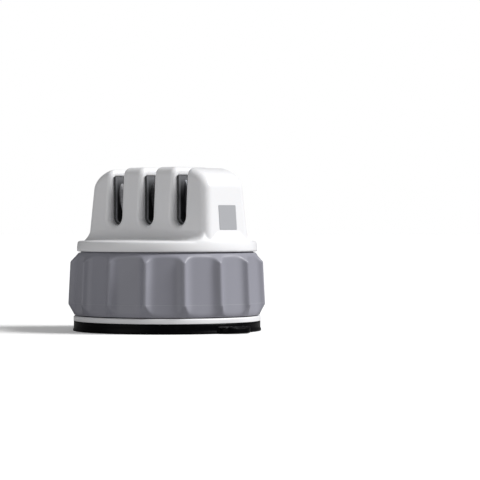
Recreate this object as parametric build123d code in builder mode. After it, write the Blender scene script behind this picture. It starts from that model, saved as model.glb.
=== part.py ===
from build123d import *
from math import atan2, cos, degrees, radians, sin, tan
import os

os.makedirs("parts", exist_ok=True)

# All sizes are in millimetres and degrees.
# The object stands on the table at height zero, its ridge along X, its knife slots along Y.

# Rubber suction cup
cup_height = 3.8
cup_inset = 0.1            # wall inside the rim of the base plate
lip_spread = 0.4            # the lip flares past the wall by this
lip_height = 1.2
lip_width = 6.0             # flat ring that meets the table
dome_height = 1.9           # air space under the middle
dome_flat_diameter = 18.0
dome_angle = 20.0           # where the dome runs out at the lip
cup_boss_diameter = 14.0
cup_boss_height = 4.1       # above the top of the cup
tab_angle = -2.5            # round from the end of the ridge
tab_reach = 5.6             # beyond the wall
tab_root = 3.0              # inside the wall
tab_width = 13.0
tab_thickness = 2.1
tab_lift = 0.25             # underside of the tip above the table
tab_corner = 4.5
tab_rib_count = 2
tab_rib_width = 0.8
tab_rib_height = 0.45
tab_rib_pitch = 1.9
tab_rib_setback = 1.6       # from the tip to the first rib

# White base plate
plate_reach = 0.3           # beyond the low edge of the ring
plate_thickness = 1.95
plate_web = 1.7             # from the screw heads to the opening
plate_edge = 0.35

# Core sleeve between the base plate and the head
core_bore = 37.0
core_wall = 3.5
deck_thickness = 2.5
deck_gap = 0.7              # to the drum of the cam ring
deck_hole = 10.0
pillar_count = 3
pillar_start_angle = 30.0
pillar_diameter = 5.8
pillar_inset = 1.5          # centre inside the bore of the core

# Cam ring
cam_clearance = 0.3         # round the core sleeve
cam_wall = 4.0
cam_gutter = 2.43           # between tube and drum
cam_drum_wall = 1.8
cam_web = 2.4
cam_web_drop = 10.2         # from the top of the tube to the web
cam_rib_count = 8
cam_rib_thickness = 1.4
groove_depth = 2.6
full_turn = 360.0
turn_angle = 90.0
lift_height = 3.0
groove_spare_angle = 9.0    # past each end of the turn
washer_thickness = 0.5
washer_gap = 0.1
washer_width = 4.6

# Grey grip ring, each radius stepped from the one before it
ring_gap = 0.35             # base plate to ring
ring_height = 23.45
ring_top_wall = 2.95        # from the bore to the top edge
ring_top_step = 3.45        # from the top edge out to the waist
ring_draft_step = 0.8       # from the waist out to the widest line
ring_low_step = 2.55        # from the widest line in to the low edge
ring_low_chamfer = 4.2      # height of the lower chamfer
ring_top_chamfer = 3.3
ring_lip = 0.6              # stops the cam ring at the top
ring_lip_height = 1.3
flute_count = 16
flute_start_angle = -1.5
flute_depth = 1.9
flute_radius = 16.0
key_count = 4
key_width = 3.0
key_height = 1.0

# Lifter, pins and stem
pin_count = 3
pin_start_angle = 90.0
pin_diameter = 4.0
pin_overhang = 1.45         # past the inner face of the lifter's rim
edge_break = 0.4
slide_clearance = 0.15
pin_rest_height = 13.5      # centre of the pins above the table
lifter_clearance = 0.4
lifter_rim = 4.2
lifter_height = 4.8
lifter_web = 2.0
lifter_hub_diameter = 12.0
stud_diameter = 4.0
stud_fit = 0.05
stud_head_diameter = 9.0
stud_head_height = 1.2
stud_cover = 2.2            # rubber over the stud's head
stem_washer_diameter = 9.0
stem_washer_thickness = 0.8
nut_width = 7.0
nut_height = 3.2
stud_end = 1.0              # stud past the nut

# White head, its heights taken from its underside
head_gap = 0.6              # ring to head
head_height = 31.65
flange_reach = 0.7          # beyond the top edge of the ring
flange_height = 3.85        # at the rim
flange_round = 1.3
flange_slope = 0.035
skirt_wall = 2.3
head_wall = 2.2
grip_height = 17.85         # where the ridge has the next two sizes
hump_length = 63.0
hump_depth = 20.0
hump_end_slope = 0.082
hump_side_slope = 0.060
hump_round = 2.6
hump_shoulder_drop = 8.0
hump_shoulder_run = 14.0
hump_foot_blend = 3.6
blend_sink = 0.06           # keeps the top of the blend just inside the ridge
shoulder_shares = (0.55, 0.55)  # how far the shoulder keeps to the end face and to the top

# Knife slots
slot_count = 3
slot_end_margin = 9.5       # from the outer slots to the ends of the cartridge
slot_width = 6.2
slot_floor_height = 9.85    # above the underside of the head
flare_reach = 3.0           # out from the face of the liner
flare_rate = 0.5            # widening of the slot per depth of the flare
flare_drop_rate = 0.3

# Cartridge
cartridge_end_wall = 5.0    # of the head, at the grip height
cartridge_side_wall = 2.0
cartridge_top_wall = 3.3
cartridge_shoulder = 3.0    # chamfer of the top ends, under the round of the ridge
cartridge_clearance = 0.15
liner_reach = 0.85          # black rims past the sides of the cartridge
liner_slot_width = 4.5
liner_lip_depth = 1.2       # narrow part of the slot behind each rim
liner_relief = 0.6          # widening behind the narrow part, to each side
rod_diameter = 3.0
rod_foot = 5.65             # past the crossing, into the cartridge
rod_cover = 1.8             # cartridge above the rods and blades
rod_angle = 20.0
rod_offset = 3.0            # from the parting plane
rod_clearance = 0.05
cross_rise = 3.6            # where a pair crosses, above the slot's floor
blade_width = 4.6
blade_thickness = 1.8
blade_bevel = 0.25
blade_angle = 22.0

# Screws
head_screw_diameter = 2.5
head_screw_length = 6.2
head_screw_head = 4.8
head_screw_head_height = 1.6
head_screw_inset = 1.2      # from the bore of the core to the head
head_screw_angle = 57.6     # from the line of the ridge
head_boss_diameter = 5.6
base_screw_diameter = 2.5
base_screw_length = 9.0
base_screw_head = 4.6
base_screw_head_height = 1.3
joint_screw_diameter = 2.2
joint_screw_reach = 5.0     # into the front half
joint_screw_head = 4.0
joint_screw_head_height = 1.5
joint_screw_drop = 4.0      # below the slots
socket_share = 0.5          # cross recess against the screw's head
socket_width_share = 0.14
socket_depth_share = 0.5
hole_clearance = 0.2
screw_fit = 0.02

overrun = 5.0

# Levels that follow, from the table up
plate_bottom = cup_height
plate_top = plate_bottom + plate_thickness
ring_bottom = plate_top + ring_gap
ring_top = ring_bottom + ring_height
head_bottom = ring_top + head_gap
deck_bottom = head_bottom - deck_thickness
cam_low = plate_top + washer_thickness + washer_gap
cam_top = deck_bottom - washer_thickness - washer_gap
rim_top = head_bottom + flange_height
boss_top = cup_height + cup_boss_height
grip_level = head_bottom + grip_height
hump_top = head_bottom + head_height
slot_bottom = head_bottom + slot_floor_height
cross_height = slot_bottom + cross_rise
cartridge_top = hump_top - cartridge_top_wall

# Radii that follow, from the axis out
core_radius = core_bore / 2 + core_wall
cam_radius = core_radius + cam_clearance
drum_inner_radius = cam_radius + cam_wall + cam_gutter
cam_drum_radius = drum_inner_radius + cam_drum_wall
deck_radius = drum_inner_radius - deck_gap
bore_radius = cam_drum_radius + screw_fit
ring_top_radius = bore_radius + ring_top_wall
waist_radius = ring_top_radius + ring_top_step
wide_radius = waist_radius + ring_draft_step
ring_low_radius = wide_radius - ring_low_step
plate_radius = ring_low_radius + plate_reach
wall_radius = plate_radius - cup_inset
lip_radius = wall_radius + lip_spread
flange_radius = ring_top_radius + flange_reach
pillar_radius = core_bore / 2 - pillar_inset
opening_radius = pillar_radius - base_screw_head / 2 - plate_web
lifter_radius = core_bore / 2 - lifter_clearance
pin_tip = cam_radius + groove_depth - slide_clearance

# Places that follow
pin_angles = [pin_start_angle + full_turn / pin_count * i for i in range(pin_count)]
cartridge_length = hump_length - 2 * cartridge_end_wall
cartridge_depth = hump_depth - 2 * cartridge_side_wall
slot_pitch = (cartridge_length - 2 * slot_end_margin) / (slot_count - 1)
slot_places = [slot_pitch * (i - (slot_count - 1) / 2) for i in range(slot_count)]
rod_reach = (cartridge_top - rod_cover - cross_height) / cos(radians(rod_angle))
blade_reach = (cartridge_top - rod_cover - cross_height) / cos(radians(blade_angle))
liner_face = cartridge_depth + 2 * liner_reach
head_screw_radius = core_bore / 2 - head_screw_head / 2 - head_screw_inset
head_screw_x = head_screw_radius * cos(radians(head_screw_angle))
head_screw_y = head_screw_radius * sin(radians(head_screw_angle))
head_screw_places = [(x * head_screw_x, y * head_screw_y) for x in (-1, 1) for y in (-1, 1)]


def finish(part, name):
    part.label = name
    export_step(part, f"parts/{name}.step")


def cross_recess(head_width, depth):
    Box(head_width * socket_share, head_width * socket_width_share, 2 * depth, mode=Mode.SUBTRACT)
    Box(head_width * socket_width_share, head_width * socket_share, 2 * depth, mode=Mode.SUBTRACT)


# Stud that the rubber boss is moulded round
stud_foot = boss_top - stud_cover - stud_head_height
lifter_bottom = boss_top + stud_fit
web_top = pin_rest_height - lifter_height / 2 + lifter_web
nut_seat = web_top + stem_washer_thickness
stud_top = nut_seat + nut_height + stud_end

with BuildPart() as stem_stud:
    with BuildSketch(Plane.XY.offset(stud_foot)):
        Circle(stud_head_diameter / 2)
    extrude(amount=stud_head_height)
    with BuildSketch(Plane.XY.offset(stud_foot)):
        Circle(stud_diameter / 2)
    extrude(amount=stud_top - stud_foot)
    chamfer(stem_stud.edges().sort_by(Axis.Z)[-1], edge_break)
finish(stem_stud.part, "stem_stud")

# Rubber cup, with the boss that is pulled up and the tab that breaks the seal
with BuildPart() as pull_tab:
    with BuildSketch(Plane.XZ) as tab_side:
        with BuildLine():
            Polyline(
                (wall_radius - tab_root, 0),
                (wall_radius + lip_spread, 0),
                (wall_radius + tab_reach, tab_lift),
                (wall_radius + tab_reach, tab_lift + tab_thickness),
                (wall_radius - tab_root, tab_thickness),
                close=True,
            )
        make_face()
    extrude(amount=tab_width / 2, both=True)
    with Locations(*[
        (wall_radius + tab_reach - tab_rib_setback - tab_rib_pitch * i, 0, tab_thickness)
        for i in range(tab_rib_count)
    ]):
        Box(tab_rib_width, tab_width, 2 * (tab_lift + tab_rib_height))
    with BuildSketch(Plane.XY):
        with Locations((wall_radius + (tab_reach - tab_root) / 2, 0)):
            tab_plan = Rectangle(tab_reach + tab_root, tab_width)
        fillet(tab_plan.vertices().group_by(Axis.X)[-1], tab_corner)
    extrude(amount=cup_height, mode=Mode.INTERSECT)

with BuildPart() as suction_cup:
    with BuildSketch(Plane.XZ):
        with BuildLine():
            Polyline(
                (0, dome_height),
                (dome_flat_diameter / 2, dome_height),
            )
            Spline(
                (dome_flat_diameter / 2, dome_height),
                (lip_radius - lip_width, 0),
                tangents=((1, 0), (1, -tan(radians(dome_angle)))),
            )
            Polyline(
                (lip_radius - lip_width, 0),
                (lip_radius, 0),
                (wall_radius, lip_height),
                (wall_radius, cup_height),
                (cup_boss_diameter / 2, cup_height),
                (cup_boss_diameter / 2, boss_top),
                (0, boss_top),
                (0, dome_height),
            )
        make_face()
    revolve(axis=Axis.Z)
    add(pull_tab.part.rotate(Axis.Z, tab_angle))
    with BuildSketch(Plane.XY.offset(stud_foot - stud_fit)):
        Circle(stud_head_diameter / 2 + stud_fit)
    extrude(amount=stud_head_height + 2 * stud_fit, mode=Mode.SUBTRACT)
    with BuildSketch(Plane.XY.offset(stud_foot)):
        Circle(stud_diameter / 2 + stud_fit)
    extrude(amount=boss_top - stud_foot + overrun, mode=Mode.SUBTRACT)
finish(suction_cup.part, "suction_cup")

# White base plate
with BuildPart() as base_plate:
    with BuildSketch(Plane.XY.offset(plate_bottom)):
        Circle(plate_radius)
        Circle(opening_radius, mode=Mode.SUBTRACT)
    extrude(amount=plate_thickness)
    chamfer(base_plate.edges().group_by(Axis.Z)[-1].sort_by(SortBy.RADIUS)[-1], plate_edge)
    with PolarLocations(pillar_radius, pillar_count, start_angle=pillar_start_angle):
        with Locations((0, 0, plate_bottom)):
            Cylinder(
                base_screw_diameter / 2 + hole_clearance, plate_thickness,
                align=(Align.CENTER, Align.CENTER, Align.MIN), mode=Mode.SUBTRACT,
            )
            Cylinder(
                base_screw_head / 2 + hole_clearance, base_screw_head_height,
                align=(Align.CENTER, Align.CENTER, Align.MIN), mode=Mode.SUBTRACT,
            )
finish(base_plate.part, "base_plate")

# Screws from the plate up into the pillars
with BuildPart() as base_screws:
    with PolarLocations(pillar_radius, pillar_count, start_angle=pillar_start_angle):
        with Locations((0, 0, plate_bottom)):
            Cylinder(
                base_screw_head / 2, base_screw_head_height,
                align=(Align.CENTER, Align.CENTER, Align.MIN),
            )
            Cylinder(
                base_screw_diameter / 2, base_screw_length,
                align=(Align.CENTER, Align.CENTER, Align.MIN),
            )
            cross_recess(base_screw_head, base_screw_head_height * socket_depth_share)
finish(base_screws.part, "base_screws")

# Core sleeve: tube, deck under the head, pillars for the base screws, guides for the pins
guide_low = pin_rest_height - pin_diameter / 2 - slide_clearance
guide_high = pin_rest_height + lift_height + pin_diameter / 2 + slide_clearance

with BuildPart() as core_sleeve:
    with BuildSketch(Plane.XZ):
        with BuildLine():
            Polyline(
                (core_bore / 2, plate_top),
                (core_radius, plate_top),
                (core_radius, deck_bottom),
                (deck_radius, deck_bottom),
                (deck_radius, head_bottom),
                (deck_hole / 2, head_bottom),
                (deck_hole / 2, deck_bottom),
                (core_bore / 2, deck_bottom),
                close=True,
            )
        make_face()
    revolve(axis=Axis.Z)
    with BuildSketch(Plane.XY.offset(plate_top)):
        with PolarLocations(pillar_radius, pillar_count, start_angle=pillar_start_angle):
            Circle(pillar_diameter / 2)
    extrude(amount=deck_bottom - plate_top)
    with BuildSketch(Plane.XY.offset(plate_top)):
        with PolarLocations(pillar_radius, pillar_count, start_angle=pillar_start_angle):
            Circle(base_screw_diameter / 2 + screw_fit)
    extrude(amount=base_screw_length - plate_thickness, mode=Mode.SUBTRACT)
    with PolarLocations(core_bore / 2 + core_wall / 2, pin_count, start_angle=pin_start_angle):
        with Locations((0, 0, guide_low)):
            Box(
                core_wall + overrun, pin_diameter + 2 * slide_clearance, guide_high - guide_low,
                align=(Align.CENTER, Align.CENTER, Align.MIN), mode=Mode.SUBTRACT,
            )
    with BuildSketch(Plane.XY.offset(deck_bottom)):
        with Locations(*head_screw_places):
            Circle(head_screw_diameter / 2 + hole_clearance)
    extrude(amount=deck_thickness, mode=Mode.SUBTRACT)
finish(core_sleeve.part, "core_sleeve")

# Slip washers under and over the cam ring
with BuildPart() as slip_washers:
    for level in (plate_top, deck_bottom - washer_thickness):
        with BuildSketch(Plane.XY.offset(level)):
            Circle(cam_radius + washer_width)
            Circle(cam_radius, mode=Mode.SUBTRACT)
        extrude(amount=washer_thickness)
finish(slip_washers.part, "slip_washers")

# Grip ring: drafted wall, two chamfers and concave flutes that run out in arches
wide_level = ring_bottom + ring_low_chamfer
waist_level = ring_top - ring_top_chamfer
wall_lean = degrees(atan2(ring_draft_step, waist_level - wide_level))
middle_level = (wide_level + waist_level) / 2
middle_radius = (wide_radius + waist_radius) / 2

with BuildPart() as grip_ring:
    with BuildSketch(Plane.XZ):
        with BuildLine():
            Polyline(
                (bore_radius, ring_bottom),
                (ring_low_radius, ring_bottom),
                (wide_radius, wide_level),
                (waist_radius, waist_level),
                (ring_top_radius, ring_top),
                (bore_radius - ring_lip, ring_top),
                (bore_radius - ring_lip, ring_top - ring_lip_height),
                (bore_radius, ring_top - ring_lip_height),
                close=True,
            )
        make_face()
    revolve(axis=Axis.Z)
    flute_place = middle_radius - flute_depth + flute_radius
    with PolarLocations(flute_place, flute_count, start_angle=flute_start_angle):
        with Locations((0, 0, middle_level)):
            Cylinder(
                flute_radius, ring_height + 2 * overrun,
                rotation=(0, -wall_lean, 0), mode=Mode.SUBTRACT,
            )
    with PolarLocations(bore_radius, key_count):
        with Locations((0, 0, ring_bottom)):
            Box(
                2 * (key_height + screw_fit), key_width + 2 * screw_fit, ring_height - ring_lip_height,
                align=(Align.CENTER, Align.CENTER, Align.MIN), mode=Mode.SUBTRACT,
            )
finish(grip_ring.part, "grip_ring")

# Helical groove that raises one pin while the ring turns, with its entry from below
groove_radius = cam_radius + groove_depth / 2
groove_width = pin_diameter + 2 * slide_clearance
climb = lift_height / turn_angle
spare_lift = groove_spare_angle * climb
groove_turn = turn_angle + 2 * groove_spare_angle
groove_start = pin_rest_height - spare_lift

with BuildPart() as groove:
    with BuildLine() as groove_line:
        Helix(
            pitch=climb * full_turn, height=climb * groove_turn, radius=groove_radius,
            center=(0, 0, groove_start), lefthand=True,
        )
    groove_plane = Plane(
        origin=groove_line.line @ 0, x_dir=(1, 0, 0), z_dir=groove_line.line % 0,
    )
    with BuildSketch(groove_plane):
        Rectangle(groove_depth + 2 * cam_clearance, groove_width)
    sweep(path=groove_line.line, is_frenet=True)
    with Locations((groove_radius, 0, cam_low - overrun)):
        Box(
            groove_depth + 2 * cam_clearance, groove_width, groove_start - cam_low + overrun,
            align=(Align.CENTER, Align.CENTER, Align.MIN),
        )

drum_top = ring_top - ring_lip_height
web_level = cam_top - cam_web_drop
rib_start_angle = full_turn / cam_rib_count / 2

with BuildPart() as cam_ring:
    with BuildSketch(Plane.XZ):
        with BuildLine():
            Polyline(
                (cam_radius, cam_low),
                (cam_radius + cam_wall, cam_low),
                (cam_radius + cam_wall, web_level - cam_web),
                (drum_inner_radius, web_level - cam_web),
                (drum_inner_radius, cam_low),
                (cam_drum_radius, cam_low),
                (cam_drum_radius, drum_top),
                (drum_inner_radius, drum_top),
                (drum_inner_radius, web_level),
                (cam_radius + cam_wall, web_level),
                (cam_radius + cam_wall, cam_top),
                (cam_radius, cam_top),
                close=True,
            )
        make_face()
    revolve(axis=Axis.Z)
    with PolarLocations(drum_inner_radius - cam_gutter / 2, cam_rib_count, start_angle=rib_start_angle):
        with Locations((0, 0, cam_low)):
            Box(
                cam_gutter + cam_drum_wall, cam_rib_thickness, web_level - cam_low,
                align=(Align.CENTER, Align.CENTER, Align.MIN),
            )
    with PolarLocations(cam_drum_radius, key_count):
        with Locations((0, 0, cam_low)):
            Box(
                2 * key_height, key_width, drum_top - cam_low,
                align=(Align.CENTER, Align.CENTER, Align.MIN),
            )
    for angle in pin_angles:
        add(groove.part.rotate(Axis.Z, angle + groove_spare_angle), mode=Mode.SUBTRACT)
finish(cam_ring.part, "cam_ring")

# Lifter: a rimmed disc with notches round the pillars and radial holes for the pins
lifter_low = pin_rest_height - lifter_height / 2

with BuildPart() as lifter:
    with BuildSketch(Plane.XZ):
        with BuildLine():
            Polyline(
                (stud_diameter / 2 + stud_fit, lifter_bottom),
                (lifter_hub_diameter / 2, lifter_bottom),
                (lifter_hub_diameter / 2, lifter_low),
                (lifter_radius, lifter_low),
                (lifter_radius, lifter_low + lifter_height),
                (lifter_radius - lifter_rim, lifter_low + lifter_height),
                (lifter_radius - lifter_rim, web_top),
                (stud_diameter / 2 + stud_fit, web_top),
                close=True,
            )
        make_face()
    revolve(axis=Axis.Z)
    with BuildSketch(Plane.XY.offset(lifter_low)):
        with PolarLocations(pillar_radius, pillar_count, start_angle=pillar_start_angle):
            Circle(pillar_diameter / 2 + lifter_clearance)
    extrude(amount=lifter_height, mode=Mode.SUBTRACT)
    with PolarLocations(lifter_radius - lifter_rim, pin_count, start_angle=pin_start_angle):
        with Locations((0, 0, pin_rest_height)):
            Box(lifter_rim, pin_diameter + lifter_rim, lifter_height)
            Cylinder(
                pin_diameter / 2 + screw_fit, 2 * lifter_rim + overrun, rotation=(0, 90, 0),
                mode=Mode.SUBTRACT,
            )
finish(lifter.part, "lifter")

# Pins pressed into the lifter, out into the grooves
pin_length = pin_tip - lifter_radius + lifter_rim + pin_overhang

with BuildPart() as lifter_pins:
    with PolarLocations(pin_tip - pin_length / 2, pin_count, start_angle=pin_start_angle):
        with Locations((0, 0, pin_rest_height)):
            Cylinder(pin_diameter / 2, pin_length, rotation=(0, 90, 0))
    chamfer(lifter_pins.edges().filter_by(GeomType.CIRCLE), edge_break)
finish(lifter_pins.part, "lifter_pins")

with BuildPart() as stem_washer:
    with BuildSketch(Plane.XY.offset(web_top)):
        Circle(stem_washer_diameter / 2)
        Circle(stud_diameter / 2 + hole_clearance, mode=Mode.SUBTRACT)
    extrude(amount=stem_washer_thickness)
finish(stem_washer.part, "stem_washer")

with BuildPart() as stem_nut:
    with BuildSketch(Plane.XY.offset(nut_seat)):
        RegularPolygon(nut_width / 2, 6, major_radius=False)
        Circle(stud_diameter / 2 + screw_fit, mode=Mode.SUBTRACT)
    extrude(amount=nut_height)
finish(stem_nut.part, "stem_nut")

# White head: drafted ridge on a round flange, one hollow moulding
grip_half = hump_length / 2
side_half = hump_depth / 2
hump_root = head_bottom + flange_height / 2


def end_at(level):
    return grip_half + hump_end_slope * (grip_level - level)


def side_at(level):
    return side_half + hump_side_slope * (grip_level - level)


shoulder_level = hump_top - hump_shoulder_drop
shoulder_x = end_at(shoulder_level)
crown_x = shoulder_x - hump_shoulder_run
shoulder_rise = hump_shoulder_drop * shoulder_shares[0]
crown_run = hump_shoulder_run * shoulder_shares[1]

with BuildPart() as hump:
    with BuildSketch(Plane.XZ):
        with BuildLine():
            Polyline(
                (-shoulder_x, shoulder_level),
                (-end_at(hump_root), hump_root),
                (end_at(hump_root), hump_root),
                (shoulder_x, shoulder_level),
            )
            right_shoulder = Bezier(
                (shoulder_x, shoulder_level),
                (shoulder_x - hump_end_slope * shoulder_rise, shoulder_level + shoulder_rise),
                (crown_x + crown_run, hump_top),
                (crown_x, hump_top),
            )
            mirror(right_shoulder, about=Plane.YZ)
            Line((crown_x, hump_top), (-crown_x, hump_top))
        make_face()
    extrude(amount=hump_depth, both=True)
    with BuildSketch(Plane.YZ):
        with BuildLine():
            Polyline(
                (-side_at(hump_root), hump_root),
                (side_at(hump_root), hump_root),
                (side_at(hump_top), hump_top),
                (-side_at(hump_top), hump_top),
                close=True,
            )
        make_face()
    extrude(amount=hump_length, both=True, mode=Mode.INTERSECT)
    front_rim = hump.faces().sort_by(Axis.Y)[0].edges().sort_by(Axis.Z)[1:]
    rear_rim = hump.faces().sort_by(Axis.Y)[-1].edges().sort_by(Axis.Z)[1:]
    fillet(front_rim + rear_rim, hump_round)

# Hollow blend between the ridge and the flange, trimmed by the rim where the ridge nears it
blend_steps = 4
with BuildPart() as foot_blend:
    for i in range(blend_steps + 1):
        turn = radians(90 * i / blend_steps)
        level = rim_top + hump_foot_blend * (1 - cos(turn))
        spread = hump_foot_blend * (1 - sin(turn)) - blend_sink
        with BuildSketch(Plane.XY.offset(level)):
            RectangleRounded(
                2 * (end_at(level) + spread), 2 * (side_at(level) + spread), hump_round + spread,
            )
    loft()
    with BuildSketch(Plane.XZ):
        with BuildLine():
            Polyline(
                (0, rim_top - flange_round),
                (flange_radius, rim_top - flange_round),
                (flange_radius, rim_top - flange_round / 2),
                (flange_radius - flange_round / 2, rim_top + flange_round / 2),
                (flange_radius - 2 * flange_round, rim_top + 2 * hump_foot_blend),
                (0, rim_top + 2 * hump_foot_blend),
                close=True,
            )
        make_face()
    revolve(axis=Axis.Z, mode=Mode.INTERSECT)

pocket_depth = cartridge_depth + 2 * cartridge_clearance
slot_centre = slot_bottom + slot_width / 2
flare_half = slot_width / 2 + flare_rate * flare_reach
flare_centre = slot_bottom - flare_drop_rate * flare_reach + flare_half


def slot_shape(half_width, centre, top):
    with BuildSketch() as shape:
        with Locations((0, centre)):
            Circle(half_width)
            Rectangle(2 * half_width, top - centre, align=(Align.CENTER, Align.MIN))
    return shape.sketch


# Front view of the cartridge, grown by the clearance for its pocket in the head
def cartridge_outline(spare):
    half = cartridge_length / 2 + spare
    top = cartridge_top + spare
    corners = (
        (-half, head_bottom),
        (half, head_bottom),
        (half, top - cartridge_shoulder),
        (half - cartridge_shoulder, top),
        (cartridge_shoulder - half, top),
        (-half, top - cartridge_shoulder),
    )
    with BuildSketch() as outline:
        Polygon(*corners, align=None)
    return outline.sketch


with BuildPart() as slot_flare:
    with BuildSketch(Plane.XZ.offset(liner_face / 2)):
        add(slot_shape(slot_width / 2, slot_centre, hump_top + overrun))
    with BuildSketch(Plane.XZ.offset(liner_face / 2 + flare_reach)):
        add(slot_shape(flare_half, flare_centre, hump_top + overrun))
    loft(ruled=True)
    mirror(about=Plane.XZ)

with BuildPart() as head_shell:
    with BuildSketch(Plane.XZ):
        with BuildLine():
            Polyline(
                (0, head_bottom),
                (flange_radius, head_bottom),
                (flange_radius, rim_top),
                (0, rim_top + flange_slope * flange_radius),
                close=True,
            )
        make_face()
    revolve(axis=Axis.Z)
    rim_edge = head_shell.edges().filter_by(GeomType.CIRCLE).sort_by(Axis.Z)[-1]
    fillet(rim_edge, flange_round)
    add(foot_blend.part)
    add(hump.part)
    with BuildSketch(Plane.XY.offset(head_bottom)):
        Circle(flange_radius - skirt_wall)
    extrude(amount=flange_height - head_wall, mode=Mode.SUBTRACT)
    with BuildSketch(Plane.XY.offset(head_bottom)):
        with Locations(*head_screw_places):
            Circle(head_boss_diameter / 2)
    extrude(amount=flange_height)
    with BuildSketch(Plane.XZ):
        add(cartridge_outline(cartridge_clearance))
    extrude(amount=pocket_depth / 2, both=True, mode=Mode.SUBTRACT)
    with BuildSketch(Plane.XY.offset(head_bottom)):
        with Locations(*head_screw_places):
            Circle(head_screw_diameter / 2 + screw_fit)
    extrude(amount=head_screw_length - deck_thickness, mode=Mode.SUBTRACT)
    with BuildSketch(Plane.XZ):
        with Locations(*[(x, 0) for x in slot_places]):
            add(slot_shape(slot_width / 2, slot_centre, hump_top + overrun))
    extrude(amount=hump_depth, both=True, mode=Mode.SUBTRACT)
    with Locations(*[(x, 0, 0) for x in slot_places]):
        add(slot_flare.part, mode=Mode.SUBTRACT)
finish(head_shell.part, "head_shell")

with BuildPart() as head_screws:
    with Locations(*[(x, y, deck_bottom) for x, y in head_screw_places]):
        Cylinder(
            head_screw_diameter / 2, head_screw_length,
            align=(Align.CENTER, Align.CENTER, Align.MIN),
        )
        Cylinder(
            head_screw_head / 2, head_screw_head_height,
            align=(Align.CENTER, Align.CENTER, Align.MAX),
        )
    with Locations(*[(x, y, deck_bottom - head_screw_head_height) for x, y in head_screw_places]):
        cross_recess(head_screw_head, head_screw_head_height * socket_depth_share)
finish(head_screws.part, "head_screws")

# Cartridge halves: each carries one leaning rod or blade of every pair
joint_screw_height = slot_bottom - joint_screw_drop
outer_screw_x = (slot_places[-1] + slot_width / 2 + cartridge_length / 2) / 2
joint_screw_places = [
    (x, joint_screw_height) for x in (-outer_screw_x, -slot_pitch / 2, slot_pitch / 2, outer_screw_x)
]
lip_half = slot_width / 2 - cartridge_clearance

for name, side in (("cartridge_front", -1), ("cartridge_rear", 1)):
    with BuildPart() as half:
        with BuildSketch(Plane.XZ):
            add(cartridge_outline(0))
        extrude(amount=-side * cartridge_depth / 2)
        with BuildSketch(Plane.XZ.offset(-side * cartridge_depth / 2)):
            with Locations(*[(x, 0) for x in slot_places]):
                add(slot_shape(lip_half, slot_centre, cartridge_top))
        extrude(amount=-side * liner_reach)
        with BuildSketch(Plane.XZ):
            with Locations(*[(x, 0) for x in slot_places]):
                add(slot_shape(liner_slot_width / 2, slot_centre, cartridge_top + overrun))
        extrude(amount=liner_face, both=True, mode=Mode.SUBTRACT)
        with BuildSketch(Plane.XZ):
            with Locations(*[(x, 0) for x in slot_places]):
                add(slot_shape(liner_slot_width / 2 + liner_relief, slot_centre, cartridge_top + overrun))
        extrude(amount=liner_face / 2 - liner_lip_depth, both=True, mode=Mode.SUBTRACT)
        for x in slot_places[:2]:
            with Locations(Location((x, 0, cross_height), (0, side * rod_angle, 0))):
                with Locations((0, side * (rod_offset + rod_diameter / 2), (rod_reach - rod_foot) / 2)):
                    Cylinder(
                        rod_diameter / 2 + rod_clearance, rod_reach + rod_foot + 2 * rod_clearance,
                        mode=Mode.SUBTRACT,
                    )
        with Locations(Location((slot_places[2], 0, cross_height), (0, side * blade_angle, 0))):
            with Locations((0, side * (rod_offset + blade_thickness / 2), (blade_reach - rod_foot) / 2)):
                Box(
                    blade_width + 2 * rod_clearance, blade_thickness + 2 * rod_clearance,
                    blade_reach + rod_foot + 2 * rod_clearance,
                    mode=Mode.SUBTRACT,
                )
        with BuildSketch(Plane.XZ):
            with Locations(*joint_screw_places):
                Circle(joint_screw_diameter / 2 + (hole_clearance if side > 0 else screw_fit))
        extrude(
            amount=cartridge_depth / 2 if side > 0 else joint_screw_reach + screw_fit,
            both=True, mode=Mode.SUBTRACT,
        )
        if side > 0:
            with BuildSketch(Plane.XZ.offset(-cartridge_depth / 2)):
                with Locations(*joint_screw_places):
                    Circle(joint_screw_head / 2 + hole_clearance)
            extrude(amount=joint_screw_head_height, mode=Mode.SUBTRACT)
    finish(half.part, name)

with BuildPart() as cartridge_screws:
    with BuildSketch(Plane.XZ.offset(-cartridge_depth / 2)):
        with Locations(*joint_screw_places):
            Circle(joint_screw_head / 2)
    extrude(amount=joint_screw_head_height)
    with BuildSketch(Plane.XZ.offset(-cartridge_depth / 2)):
        with Locations(*joint_screw_places):
            Circle(joint_screw_diameter / 2)
    extrude(amount=cartridge_depth / 2 + joint_screw_reach)
finish(cartridge_screws.part, "cartridge_screws")

# Crossed pairs: the front piece leans one way, the rear piece the other
for kind, x in (("ceramic_rod", slot_places[0]), ("diamond_rod", slot_places[1])):
    for end, side in (("front", -1), ("rear", 1)):
        with BuildPart() as rod:
            with Locations(Location((x, 0, cross_height), (0, side * rod_angle, 0))):
                with Locations((0, side * (rod_offset + rod_diameter / 2), (rod_reach - rod_foot) / 2)):
                    Cylinder(rod_diameter / 2, rod_reach + rod_foot)
            chamfer(rod.edges().filter_by(GeomType.CIRCLE), edge_break)
        finish(rod.part, f"{kind}_{end}")

for end, side in (("front", -1), ("rear", 1)):
    with BuildPart() as blade:
        with Locations(Location((slot_places[2], 0, cross_height), (0, side * blade_angle, 0))):
            with Locations((0, side * (rod_offset + blade_thickness / 2), (blade_reach - rod_foot) / 2)):
                Box(blade_width, blade_thickness, blade_reach + rod_foot)
        chamfer(blade.edges().group_by(SortBy.LENGTH)[-1], blade_bevel)
    finish(blade.part, f"carbide_blade_{end}")
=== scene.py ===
from math import atan, cos, pi, radians, sin, tan

import bmesh
import bpy
import numpy as np
from mathutils import Matrix, Vector


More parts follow.
